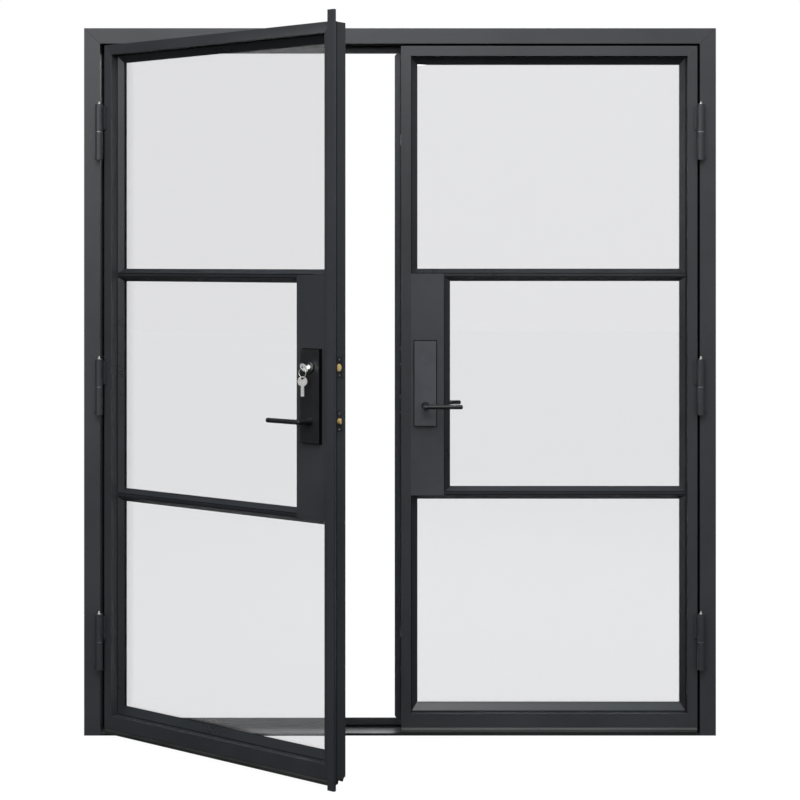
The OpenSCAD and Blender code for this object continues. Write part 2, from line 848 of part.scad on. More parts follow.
spindle_turn_r = spindle_a * 0.75;
case_u0 = lock_u - lock_case_r;
case_bore_u0 = lock_u + spindle_turn_r + 2;

// Tubular case and faceplate of one lock, bored for its bolt
module lock_case(z, bolt_r) {
    in_leaf() difference() {
        union() {
            rod_x(leaf_t / 2, z, lock_case_r, case_u0, edge_u - leaf_wall);
            box([edge_u - leaf_wall, (leaf_t - faceplate_w) / 2 + slide_clear,
                 z - faceplate_h / 2 + slide_clear],
                [edge_u, (leaf_t + faceplate_w) / 2 - slide_clear,
                 z + faceplate_h / 2 - slide_clear]);
        }
        rod_y(lock_u, z, spindle_turn_r, 0, leaf_t);
        rod_x(leaf_t / 2, z, bolt_r + slide_clear, case_bore_u0, edge_u + eps);
        screw_holes(z, screw_pitch, edge_u - leaf_wall - eps, edge_u + eps);
    }
}

module lock_cases() {
    color(black) on_left() {
        lock_case(lever_z, latch_r);
        lock_case(cylinder_z, deadbolt_r);
    }
}

module screws_at(z, u, pitch) {
    for (s = [-1, 1]) {
        rod_x(leaf_t / 2, z + s * pitch / 2, screw_r, u - screw_len, u);
        rod_x(leaf_t / 2, z + s * pitch / 2, screw_head_r, u, u + screw_head_t);
    }
}

module faceplate_screws() {
    color(steel) on_left() in_leaf()
        for (z = [lever_z, cylinder_z]) screws_at(z, edge_u, screw_pitch);
}

latch_u0 = case_bore_u0 + latch_out + 1;

// Sprung latch: a round shank whose nose is bevelled on the closing side
module latch_bolt() {
    color(brass) on_left() in_leaf() difference() {
        rod_x(leaf_t / 2, lever_z, latch_r, latch_u0, edge_u + latch_out);
        translate([edge_u + latch_out, leaf_t / 2 - latch_r * 0.5, lever_z])
            rotate([0, 0, 45]) translate([0, -far / 2, -latch_r - eps])
            cube([far, far, 2 * latch_r + 2 * eps]);
    }
}

deadbolt_u0 = case_bore_u0 + 0.5;

module deadbolt() {
    color(brass) on_left() in_leaf()
        rod_x(leaf_t / 2, cylinder_z, deadbolt_r, deadbolt_u0, edge_u - 0.2);
}

module lock_cylinder() {
    color(steel) on_left() in_leaf() difference() {
        rod_y(lock_u, cylinder_z, cylinder_r, -plate_t - cylinder_out, 0);
        rod_y(lock_u, cylinder_z, plug_r + run_clear, -plate_t - cylinder_out - eps, eps);
    }
}

key_slot_w = key_t + 0.4;
key_slot_h = key_blade_w + 0.4;

// Faces of the plug and of the key's bow, in front of the leaf
key_front = -plate_t - cylinder_out - plug_out;
key_bow_v = key_front - key_shoulder - key_bow_r + eps;
key_hole_v = key_bow_v - key_bow_r + key_hole_r + 3;

// Turns children about the lock cylinder's axis
module leaning() {
    translate([lock_u, 0, cylinder_z]) rotate([0, -key_lean, 0]) children();
}

// The plug, its key slot and the flat tail that works the deadbolt
module cylinder_plug() {
    color(steel) on_left() in_leaf() {
        difference() {
            rod_y(lock_u, cylinder_z, plug_r, key_front, -eps);
            leaning() box([-key_slot_w / 2, key_front - eps, -key_slot_h / 2],
                          [key_slot_w / 2, -tail_w, key_slot_h / 2]);
        }
        box([lock_u - tail_w / 2, -eps, cylinder_z - tail_t / 2],
            [lock_u + tail_w / 2, leaf_t, cylinder_z + tail_t / 2]);
    }
}

// Key in the lock: blade, shoulder and a round bow with a hole
module door_key() {
    color(steel) on_left() in_leaf() leaning() difference() {
        union() {
            box([-key_t / 2, key_front - key_shoulder, -key_blade_w / 2],
                [key_t / 2, -tail_w - eps, key_blade_w / 2]);
            rod_x(key_bow_v, 0, key_bow_r, -key_t / 2, key_t / 2);
        }
        rod_x(key_hole_v, 0, key_hole_r, -key_t, key_t);
    }
}

// The ring hangs in the bow's hole, in the plane across the key
ring_z = cylinder_z - ring_drop - key_ring_r + key_wire_r;

module key_ring() {
    color(steel) on_left() in_leaf() translate([lock_u, key_hole_v, ring_z])
        rotate([90, 0, 0]) rotate_extrude() translate([key_ring_r - key_wire_r, 0])
            circle(r = key_wire_r, $fn = 24);
}

// The spare key hangs flat below the ring
spare_z = ring_z - key_ring_r + 2 * key_wire_r + 2 * slide_clear - key_hole_r;
spare_len = 26;
spare_turn = -35;

module spare_key() {
    bow_z = spare_z - key_bow_r + key_hole_r + 1;
    color(steel) on_left() in_leaf() translate([lock_u, key_hole_v, 0])
        rotate([0, 0, spare_turn]) difference() {
            union() {
                rod_x(0, bow_z, key_bow_r, -key_t / 2, key_t / 2);
                box([-key_t / 2, -key_blade_w / 2, bow_z - key_bow_r - spare_len],
                    [key_t / 2, key_blade_w / 2, bow_z - key_bow_r + 2]);
            }
            rod_x(0, spare_z, key_hole_r, -key_t, key_t);
        }
}

// Thumb turn on the inside, slotted for the plug's tail
module thumb_turn() {
    color(black) on_left() in_leaf() translate([0, leaf_t, 0]) difference() {
        union() {
            rod_y(lock_u, cylinder_z, tail_w - slide_clear, -tail_in, plate_t + slide_clear + eps);
            rod_y(lock_u, cylinder_z, turn_r, plate_t + slide_clear, plate_t + turn_base_t);
            box([lock_u - turn_grip_w / 2, plate_t + turn_base_t - eps, cylinder_z - turn_r],
                [lock_u + turn_grip_w / 2, plate_t + turn_len, cylinder_z + turn_r]);
        }
        box([lock_u - tail_w / 2 - tail_clear, -tail_in - eps, cylinder_z - tail_t / 2 - tail_clear],
            [lock_u + tail_w / 2 + tail_clear, tail_in, cylinder_z + tail_t / 2 + tail_clear]);
    }
}

// ---------- Inactive leaf's edge ----------

module strike_plates() {
    color(black) on_right() in_leaf() for (z = [lever_z, cylinder_z]) difference() {
        box([edge_u, (leaf_t - strike_w) / 2, z - faceplate_h / 2],
            [edge_u + strike_t, (leaf_t + strike_w) / 2, z + faceplate_h / 2]);
        box([edge_u - eps, (leaf_t - pocket_w) / 2, z - pocket_h / 2],
            [edge_u + strike_t + eps, (leaf_t + pocket_w) / 2, z + pocket_h / 2]);
        screw_holes(z, strike_pitch, edge_u - eps, edge_u + strike_t + eps);
    }
}

module strike_screws() {
    color(steel) on_right() in_leaf()
        for (z = [lever_z, cylinder_z]) screws_at(z, edge_u + strike_t, strike_pitch);
}

top_thumb_z = leaf_top - bolt_len + thumb_h;
bottom_thumb_z = leaf_lift + bolt_len - thumb_h;

module top_flush_bolt() {
    z1 = leaf_top - bolt_back;
    color(steel) on_right() in_leaf() {
        translate([bolt_u, bolt_v, z1 - bolt_len]) cylinder(r = flush_bolt_r, h = bolt_len);
        box([bolt_u, bolt_v - thumb_w / 2, top_thumb_z - thumb_h / 2],
            [edge_u + 1, bolt_v + thumb_w / 2, top_thumb_z + thumb_h / 2]);
    }
}

module bottom_flush_bolt() {
    z0 = leaf_lift + bolt_back;
    color(steel) on_right() in_leaf() {
        translate([bolt_u, bolt_v, z0]) cylinder(r = flush_bolt_r, h = bolt_len);
        box([bolt_u, bolt_v - thumb_w / 2, bottom_thumb_z - thumb_h / 2],
            [edge_u + 1, bolt_v + thumb_w / 2, bottom_thumb_z + thumb_h / 2]);
    }
}

frame_head();
frame_jamb_left();
frame_jamb_right();
frame_stops();
frame_sill();
frame_seals();
left_frame_knuckles();
right_frame_knuckles();
hinge_pins();
left_hinge_stile();
left_meeting_stile();
left_top_rail();
left_bottom_rail();
left_lock_panel();
left_glazing_bars();
left_beads();
left_glass();
left_spacers();
left_leaf_knuckles();
left_hinge_nipples();
left_astragal();
left_meeting_seal();
left_sweep();
left_outer_escutcheon();
left_inner_escutcheon();
lock_cylinder();
lock_cases();
faceplate_screws();
left_outer_lever();
left_inner_lever();
left_spindle();
latch_bolt();
cylinder_plug();
door_key();
key_ring();
spare_key();
deadbolt();
thumb_turn();
right_hinge_stile();
right_meeting_stile();
right_top_rail();
right_bottom_rail();
right_lock_panel();
right_glazing_bars();
right_beads();
right_glass();
right_spacers();
right_leaf_knuckles();
right_hinge_nipples();
right_rear_lip();
right_leaf_seals();
right_outer_escutcheon();
right_inner_escutcheon();
strike_plates();
strike_screws();
right_outer_lever();
right_inner_lever();
right_spindle();
top_flush_bolt();
bottom_flush_bolt();
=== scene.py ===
"""Looks of a pair of steel and glass french doors in their frame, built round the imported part."""
import logging
import math
from dataclasses import dataclass, field
from enum import Enum
from typing import Iterable, Sequence

import bmesh
import bpy
import numpy as np
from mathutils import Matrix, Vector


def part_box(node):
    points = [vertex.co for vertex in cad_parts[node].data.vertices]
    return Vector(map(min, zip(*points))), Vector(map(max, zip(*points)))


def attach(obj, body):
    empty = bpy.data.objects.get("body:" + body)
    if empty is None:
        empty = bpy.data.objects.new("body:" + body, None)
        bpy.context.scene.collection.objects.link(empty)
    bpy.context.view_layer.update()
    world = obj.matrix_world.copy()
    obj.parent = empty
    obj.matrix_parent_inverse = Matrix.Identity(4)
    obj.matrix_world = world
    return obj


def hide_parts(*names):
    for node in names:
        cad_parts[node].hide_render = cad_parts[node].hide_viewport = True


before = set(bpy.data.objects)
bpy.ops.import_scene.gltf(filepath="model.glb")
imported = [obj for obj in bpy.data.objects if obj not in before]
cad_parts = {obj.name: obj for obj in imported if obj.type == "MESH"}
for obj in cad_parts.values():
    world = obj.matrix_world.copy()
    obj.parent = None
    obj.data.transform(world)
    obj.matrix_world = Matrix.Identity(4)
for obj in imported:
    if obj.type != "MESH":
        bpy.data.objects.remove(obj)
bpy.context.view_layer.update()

LOG = logging.getLogger("french_doors")
MM = 0.001

# Sizes of a leaf in millimetres, in its own coordinates
LEAF_START, LEAF_END = 7.5, 865.5
LEAF_LOW, LEAF_HIGH = 24.5, 1996.5
LEAF_THICK = 52.0
STILE, BOTTOM_RAIL, LOCK_PANEL, BAR_FACE = 29.0, 40.0, 124.0, 7.0
GLASS_FRONT, GLASS_BACK = 35.0, 48.0
BEAD_FRONT, BEAD_GROOVE = 23.0, 2.0
LEVER_U, LEVER_Z, CYLINDER_Z = 795.5, 956.0, 1096.0
PLATE_WIDE, PLATE_LOW, PLATE_HIGH, PLATE_OUT = 63.0, 897.5, 1142.5, 12.0


# ---------------------------------------------------------------- placing

class Side(Enum):
    """The two leaves of the pair."""

    LEFT = "left"
    RIGHT = "right"


@dataclass(frozen=True)
class LeafPlace:
    """Turns leaf coordinates into the doors' own frame.

    u runs from the hinge axis to the meeting edge, v from the leaf's front
    face to its back, and z is the height, all in millimetres.
    """

    side: Side
    axis_x: float = 868.5
    axis_y: float = -61.5
    face_v: float = 13.0
    open_deg: float = 37.5

    def at(self, uvz: np.ndarray) -> np.ndarray:
        """Gives points in metres for points (…, 3) in leaf millimetres."""
        u, v, z = uvz[..., 0], uvz[..., 1] + self.face_v, uvz[..., 2]
        turn = math.radians(self.open_deg) if self.side is Side.LEFT else 0.0
        x = -self.axis_x + u * math.cos(turn) + v * math.sin(turn)
        y = self.axis_y - u * math.sin(turn) + v * math.cos(turn)
        if self.side is Side.RIGHT:
            x = -x
        return np.stack([x, y, z], axis=-1) * MM

    @property
    def body(self) -> str:
        """Name of the CAD body of this leaf."""
        return f"{self.side.value}_leaf"


# ---------------------------------------------------------------- meshes

def to_object(name: str, verts: np.ndarray, faces: list, smooth_deg: float = 35.0) -> bpy.types.Object:
    """Makes one mesh object with merged doubles and outward normals.

    Args:
        name: Name of the piece.
        verts: Points in metres, one row each.
        faces: Lists of point numbers.
        smooth_deg: Edges sharper than this stay crisp.

    Returns:
        The new object, linked to the scene.
    """
    mesh = bpy.data.meshes.new(name)
    mesh.from_pydata(verts.tolist(), [], faces)
    work = bmesh.new()
    work.from_mesh(mesh)
    bmesh.ops.remove_doubles(work, verts=work.verts, dist=1e-6)
    bmesh.ops.dissolve_degenerate(work, dist=1e-7, edges=work.edges)
    bmesh.ops.recalc_face_normals(work, faces=work.faces)
    work.to_mesh(mesh)
    work.free()
    mesh.shade_smooth()
    mesh.set_sharp_from_angle(angle=math.radians(smooth_deg))
    obj = bpy.data.objects.new(name, mesh)
    bpy.context.scene.collection.objects.link(obj)
    return obj


@dataclass
class Shell:
    """Collects closed grids of points that together make one piece."""

    verts: list = field(default_factory=list)
    faces: list = field(default_factory=list)
    count: int = 0

    def grid(self, points: np.ndarray, wrap_rows: bool = False, cap: bool = True) -> "Shell":
        """Adds a grid whose columns close on themselves.

        Args:
            points: Rows by columns by 3, in metres.
            wrap_rows: Joins the last row to the first, as in a ring.
            cap: Closes the first and the last row with a face each.

        Returns:
            This shell, so that calls can be chained.
        """
        rows, cols = points.shape[:2]
        index = np.arange(rows * cols).reshape(rows, cols) + self.count
        lower = index if wrap_rows else index[:-1]
        upper = np.roll(index, -1, axis=0) if wrap_rows else index[1:]
        quads = np.stack([lower, np.roll(lower, -1, axis=1), np.roll(upper, -1, axis=1), upper], axis=-1)
        self.faces += quads.reshape(-1, 4).tolist()
        if cap and not wrap_rows:
            self.faces += [index[0][::-1].tolist(), index[-1].tolist()]
        self.verts.append(points.reshape(-1, 3))
        self.count += rows * cols
        return self

    def piece(self, name: str, smooth_deg: float = 35.0) -> bpy.types.Object:
        """Makes the collected grids into one object."""
        return to_object(name, np.concatenate(self.verts), self.faces, smooth_deg)


def circle(radius: float, count: int) -> np.ndarray:
    """Points (count, 2) evenly spaced on a circle."""
    turn = np.linspace(0.0, 2.0 * math.pi, count, endpoint=False)
    return radius * np.stack([np.cos(turn), np.sin(turn)], axis=-1)


def lathe(profile: np.ndarray, count: int) -> np.ndarray:
    """Turns a profile of (distance along the axis, radius) into a grid.

    The grid's point is (along, radius times cosine, radius times sine) of an
    angle that goes once round.
    """
    ring = circle(1.0, count)
    along = np.repeat(profile[:, :1], count, axis=1)
    return np.stack([along, profile[:, 1:] * ring[:, 0], profile[:, 1:] * ring[:, 1]], axis=-1)


def rounded_ends(length: float, radius: float, edge: float, steps: int = 6) -> np.ndarray:
    """Profile of a rod from 0 to length whose rims are rounded by edge.

    Each rim is a quarter circle: along is edge times one minus the cosine, and
    the radius is radius less edge plus edge times the sine.
    """
    turn = np.linspace(0.0, math.pi / 2.0, steps)
    along = edge * (1.0 - np.cos(turn))
    rad = radius - edge + edge * np.sin(turn)
    first = np.stack([along, rad], axis=-1)
    last = np.stack([length - along[::-1], rad[::-1]], axis=-1)
    return np.concatenate([[[0.0, 1e-3]], first, last, [[length, 1e-3]]])


def ring_round_rect(profile: np.ndarray, rect: Sequence[float]) -> np.ndarray:
    """Carries a profile round a rectangle with mitred corners.

    Args:
        profile: Points (distance inwards from the rectangle, depth).
        rect: Left, bottom, right and top of the rectangle.

    Returns:
        Grid of the four corners by the profile's points, as (u, v, z).
    """
    left, low, right, high = rect
    corner = np.array([[left, low], [right, low], [right, high], [left, high]])
    inward = np.array([[1, 1], [-1, 1], [-1, -1], [1, -1]], dtype=float)
    flat = corner[:, None, :] + inward[:, None, :] * profile[None, :, :1]
    depth = np.repeat(profile[None, :, 1], 4, axis=0)
    return np.stack([flat[..., 0], depth, flat[..., 1]], axis=-1)


def strip(profile: np.ndarray, ends: tuple, along: int) -> np.ndarray:
    """Carries a flat profile straight along one axis.

    Args:
        profile: Points of the two other coordinates, in order.
        ends: First and last coordinate along the axis.
        along: Number of the axis, 0 for u, 1 for v and 2 for z.

    Returns:
        Grid of two rows by the profile's points, as (u, v, z).
    """
    rest = [k for k in range(3) if k != along]
    grid = np.zeros((2, len(profile), 3))
    grid[..., rest[0]] = profile[:, 0]
    grid[..., rest[1]] = profile[:, 1]
    grid[..., along] = np.array(ends)[:, None]
    return grid


def soften(obj: bpy.types.Object, width_mm: float) -> None:
    """Rounds a CAD node's sharp edges with live modifiers.

    Loose triangles are welded and coplanar ones joined first.

    Args:
        obj: The CAD node.
        width_mm: Width of the rounding.
    """
    weld = obj.modifiers.new("weld", "WELD")
    weld.merge_threshold = 2e-6
    flat = obj.modifiers.new("flat", "DECIMATE")
    flat.decimate_type = "DISSOLVE"
    flat.angle_limit = math.radians(0.5)
    rim = obj.modifiers.new("rim", "BEVEL")
    rim.width = width_mm * MM
    rim.segments = 2
    rim.limit_method = "ANGLE"
    rim.angle_limit = math.radians(40.0)
    rim.use_clamp_overlap = True
    rim.harden_normals = True


# ---------------------------------------------------------------- finishes

def linear(srgb: str) -> tuple:
    """Gives the linear RGBA of an sRGB hex value."""
    part = np.array([int(srgb[k:k + 2], 16) for k in (1, 3, 5)]) / 255.0
    value = np.where(part <= 0.04045, part / 12.92, ((part + 0.055) / 1.055) ** 2.4)
    return (*value.tolist(), 1.0)


def add_node(tree: bpy.types.NodeTree, kind: str, settings: dict | None = None,
             links: dict | None = None) -> bpy.types.Node:
    """Adds one node to a material or world.

    Args:
        tree: The node tree.
        kind: Blender's name of the node's type.
        settings: Node properties, or input sockets by name or number.
        links: Input socket to output socket.

    Returns:
        The new node.
    """
    node = tree.nodes.new(kind)
    for key, value in (settings or {}).items():
        if isinstance(key, str) and hasattr(node, key):
            setattr(node, key, value)
        else:
            node.inputs[key].default_value = value
    for key, socket in (links or {}).items():
        tree.links.new(socket, node.inputs[key])
    return node


@dataclass(frozen=True)
class Finish:
    """A material: its name, record slot and the values of its shader.

    mottle_mm, grain_mm and grain_depth_mm are real sizes on the surface.
    """

    name: str
    slot: str
    colour: str
    deep: str
    metallic: float = 0.0
    rough: tuple = (0.4, 0.5)
    ior: float = 1.5
    mottle_mm: float = 160.0
    grain_mm: float = 3.0
    grain_depth_mm: float = 0.05
    stretch: tuple = (1.0, 1.0, 1.0)

    def make(self) -> bpy.types.Material:
        """Builds the material once.

        A wide noise mottles the colour, a fine one makes the bump, and both
        together set the roughness.
        """
        mat = bpy.data.materials.get(self.name)
        if mat:
            return mat
        mat = bpy.data.materials.new(self.name)
        mat.use_nodes = True
        tree = mat.node_tree
        tree.nodes.clear()
        where = add_node(tree, "ShaderNodeTexCoord").outputs["Object"]
        place = add_node(tree, "ShaderNodeMapping", {"Scale": self.stretch},
                         {"Vector": where}).outputs["Vector"]
        wide = add_node(tree, "ShaderNodeTexNoise",
                        {"Scale": 1000.0 / self.mottle_mm, "Detail": 5.0, "Roughness": 0.6},
                        {"Vector": place}).outputs["Fac"]
        fine = add_node(tree, "ShaderNodeTexNoise",
                        {"Scale": 1000.0 / self.grain_mm, "Detail": 3.0, "Roughness": 0.55},
                        {"Vector": place}).outputs["Fac"]
        shade = add_node(tree, "ShaderNodeMapRange", {1: 0.3, 2: 0.7}, {0: wide}).outputs[0]
        tone = add_node(tree, "ShaderNodeMix", {"data_type": "RGBA", 6: linear(self.deep),
                                                7: linear(self.colour)}, {0: shade}).outputs[2]
        haze = add_node(tree, "ShaderNodeMath", {"operation": "MULTIPLY_ADD", 1: 0.6},
                        {0: fine, 2: wide}).outputs[0]
        rough = add_node(tree, "ShaderNodeMapRange",
                         {1: 0.5, 2: 1.1, 3: self.rough[0], 4: self.rough[1]}, {0: haze}).outputs[0]
        bump = add_node(tree, "ShaderNodeBump",
                        {"Strength": 1.0, "Distance": self.grain_depth_mm * MM},
                        {"Height": fine}).outputs["Normal"]
        shader = add_node(tree, "ShaderNodeBsdfPrincipled", {"Metallic": self.metallic},
                          {"Base Color": tone, "Roughness": rough, "Normal": bump})
        if self.metallic < 0.5:
            shader.inputs["IOR"].default_value = self.ior
        add_node(tree, "ShaderNodeOutputMaterial", None, {"Surface": shader.outputs[0]})
        return mat


# Polyester powder coat baked on steel tube: satin, very dark neutral grey, with a
# faint orange peel. The real peel is 1 to 2 mm wide; it is drawn at 5 mm so it shows.
POWDER_COAT = Finish("satin_powder_coat_on_steel", "frame_black", "#353639", "#2E2F32",
                     rough=(0.36, 0.48), grain_mm=5.0, grain_depth_mm=0.035, mottle_mm=220.0)
# A paler tone of the same coat for the fixed leaf's lock panel, matched: the paler tone is painted light,
# standing in for the light that the panel catches
PANEL_COAT = Finish("paler_lit_powder_coat_on_panel", "frame_black", "#434447", "#3A3B3E",
                    rough=(0.36, 0.48), grain_mm=5.0, grain_depth_mm=0.03, mottle_mm=120.0)
# A darker, glossier tone of the same coat for the beads and bars, matched: the darker tone is painted
# shade, standing in for the shade on the beads' slopes and under the bars
BEAD_COAT = Finish("satin_powder_coat_on_drawn_beads", "frame_black", "#2A2C30", "#232528",
                   rough=(0.26, 0.36), grain_mm=5.0, grain_depth_mm=0.03, mottle_mm=180.0)
# Aluminium astragal and lip bar: powder coated, smoother, so its long edges catch light
BAR_COAT = Finish("powder_coat_on_flat_bar", "frame_black", "#38393D", "#313236",
                  rough=(0.30, 0.40), grain_mm=6.0, grain_depth_mm=0.02, mottle_mm=260.0)
# Sill: the coat is scuffed along the run, so it is duller; its darker tone is painted shade, matched
SILL_COAT = Finish("scuffed_and_shaded_powder_coat_on_sill", "frame_black", "#17191B", "#101214",
                   rough=(0.38, 0.58), grain_mm=7.0, mottle_mm=40.0, stretch=(0.15, 1.0, 1.0))
# Black plated furniture: matt, deeper than the leaf
LOCK_BLACK = Finish("matt_black_plated_furniture", "lock_black", "#1C1C1E", "#161618",
                    rough=(0.38, 0.50), grain_mm=2.5, grain_depth_mm=0.015, mottle_mm=60.0)
# EPDM rubber: moulded, dull, a faint grey bloom
EPDM = Finish("moulded_epdm_rubber", "rubber", "#111112", "#0A0A0B", rough=(0.62, 0.78),
              grain_mm=3.0, grain_depth_mm=0.04, mottle_mm=70.0)
# Black glazing mastic, tooled flat: dull and sooty. Its dead black is painted shade, standing in for the
# shadow in the groove round the beads
SHADED_GROOVE_MASTIC = Finish("black_mastic_and_groove_shade", "rubber", "#08090A", "#040405", rough=(0.7, 0.9), ior=1.35,
                grain_mm=2.5, grain_depth_mm=0.06, mottle_mm=60.0)
# Dead black band under and round the plate, painted shade for its shadow on the leaf and its shaded side
# wall: it hardly reflects at all
PLATE_SHADE_BLACK = Finish("painted_shade_black_band", "rubber", "#060607", "#030303", rough=(0.85, 0.95), ior=1.2,
              grain_mm=2.0, grain_depth_mm=0.05, mottle_mm=40.0)
# Sweep carrier: mill-finish aluminium with a thin grey anodise, dulled by dust
SWEEP_GREY = Finish("grey_anodised_aluminium", "frame_black", "#6F6F6C", "#5B5B59", metallic=1.0,
                    rough=(0.42, 0.56), grain_mm=4.0, grain_depth_mm=0.02, mottle_mm=90.0,
                    stretch=(0.2, 1.0, 1.0))
# Warm-edge spacer: matt extruded plastic with a rolled face
WARM_EDGE = Finish("matt_warm_edge_spacer", "spacer", "#3F464A", "#343B40", rough=(0.5, 0.62),
                   grain_mm=3.0, grain_depth_mm=0.03, mottle_mm=50.0)
# Zinc plated, turned steel: bright with fine turning marks across the axis
ZINC = Finish("zinc_plated_turned_steel", "bright_steel", "#B9BCC0", "#9A9DA2", metallic=1.0,
              rough=(0.22, 0.38), grain_mm=1.6, grain_depth_mm=0.01, mottle_mm=20.0,
              stretch=(1.0, 1.0, 4.0))
# Polished brass of the bolts, only part metal so that it stays bright under a plain sky
BRASS = Finish("polished_brass", "brass", "#FFE39C", "#EFC773", metallic=0.35,
               rough=(0.20, 0.30), grain_mm=1.5, grain_depth_mm=0.002, mottle_mm=12.0)
# Nickel plated brass of keys and plug, only part metal for the same reason
NICKEL = Finish("nickel_plated_keys", "nickel", "#F7F5F1", "#DAD6CE", metallic=0.55,
                rough=(0.18, 0.30), grain_mm=1.5, grain_depth_mm=0.003, mottle_mm=10.0)
# Satin black powder coat of the fixed leaf's blank plate, a paler tone matched
PLATE_COAT = Finish("satin_black_coated_plate", "lock_black", "#505256", "#48494D",
                    rough=(0.30, 0.40), grain_mm=3.0, grain_depth_mm=0.012, mottle_mm=90.0)
# Satin dark nickel of the cylinder's face
CYLINDER_GREY = Finish("satin_dark_nickel", "nickel", "#5C5D60", "#47484B", metallic=1.0,
                       rough=(0.34, 0.46), grain_mm=1.5, grain_depth_mm=0.01, mottle_mm=15.0)


@dataclass(frozen=True)
class FloatGlass:
    """Clear float glass: faint grey body, mirror-smooth, with very wide ripples."""

    name: str = "clear_float_glass"
    slot: str = "glass"
    tint: str = "#F1F1F2"
    ior: float = 1.52
    ripple_mm: float = 420.0
    ripple_depth_mm: float = 0.2

    def make(self) -> bpy.types.Material:
        """Builds the glass once: full transmission with a barely wavy surface."""
        mat = bpy.data.materials.get(self.name)
        if mat:
            return mat
        mat = bpy.data.materials.new(self.name)
        mat.use_nodes = True
        tree = mat.node_tree
        tree.nodes.clear()
        where = add_node(tree, "ShaderNodeTexCoord").outputs["Object"]
        wave = add_node(tree, "ShaderNodeTexNoise",
                        {"Scale": 1000.0 / self.ripple_mm, "Detail": 1.0},
                        {"Vector": where}).outputs["Fac"]
        normal = add_node(tree, "ShaderNodeBump", {"Strength": 0.1, "Distance": self.ripple_depth_mm * MM},
                          {"Height": wave}).outputs["Normal"]
        shader = add_node(tree, "ShaderNodeBsdfPrincipled",
                          {"Base Color": linear(self.tint), "IOR": self.ior, "Roughness": 0.0,
                           "Transmission Weight": 1.0},
                          {"Normal": normal})
        add_node(tree, "ShaderNodeOutputMaterial", None, {"Surface": shader.outputs[0]})
        return mat


GLASS = FloatGlass()


def dress(obj: bpy.types.Object, finish: Finish | FloatGlass) -> None:
    """Gives a piece or a CAD node one finish."""
    obj.data.materials.clear()
    obj.data.materials.append(finish.make())


def add_piece(obj: bpy.types.Object, body: str, finish: Finish | FloatGlass,
              replaced: Iterable[str] = ()) -> bpy.types.Object:
    """Dresses a new piece and hands it to the frame.

    Args:
        obj: The new piece.
        body: CAD body that it rides on.
        finish: Its material.
        replaced: CAD nodes that it stands for.

    Returns:
        The same piece.
    """
    dress(obj, finish)
    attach(obj, body)
    if replaced:
        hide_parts(*replaced)
    LOG.info("piece %s on %s", obj.name, body)
    return obj


# ---------------------------------------------------------------- studio

@dataclass(frozen=True)
class SoftBox:
    """A square area lamp that hangs at spot and points at aim, in metres and watts."""

    name: str
    spot: tuple
    aim: tuple
    size: float
    watts: float

    def hang(self) -> None:
        """Makes the lamp and turns its face to the aim."""
        data = bpy.data.lights.new(self.name, "AREA")
        data.shape = "RECTANGLE"
        data.size = data.size_y = self.size
        data.energy = self.watts
        lamp = bpy.data.objects.new(self.name, data)
        lamp.location = self.spot
        away = np.array(self.spot) - np.array(self.aim)
        lamp.rotation_euler = (math.atan2(math.hypot(away[0], away[1]), away[2]), 0.0,
                               math.atan2(away[0], -away[1]))
        bpy.context.scene.collection.objects.link(lamp)


# Two over the front, one to the left and one behind
SOFT_BOXES = (SoftBox("key_box", (-0.5, -3.6, 4.2), (0.0, 0.0, 1.1), 2.4, 105.0),
              SoftBox("top_front_box", (0.2, -1.6, 3.7), (0.0, 0.0, 1.3), 2.0, 8.0),
              SoftBox("left_fill_box", (-3.2, -4.2, 2.4), (0.0, 0.0, 1.2), 2.0, 50.0),
              SoftBox("rear_box", (0.8, 3.2, 3.4), (0.0, 0.0, 1.2), 2.4, 160.0))


def seen_directly(tree: bpy.types.NodeTree) -> bpy.types.NodeSocket:
    """Gives 1 for a ray from the camera or through glass, and 0 for any other."""
    path = add_node(tree, "ShaderNodeLightPath")
    return add_node(tree, "ShaderNodeMath", {"operation": "MAXIMUM"},
                    {0: path.outputs["Is Camera Ray"],
                     1: path.outputs["Is Transmission Ray"]}).outputs[0]


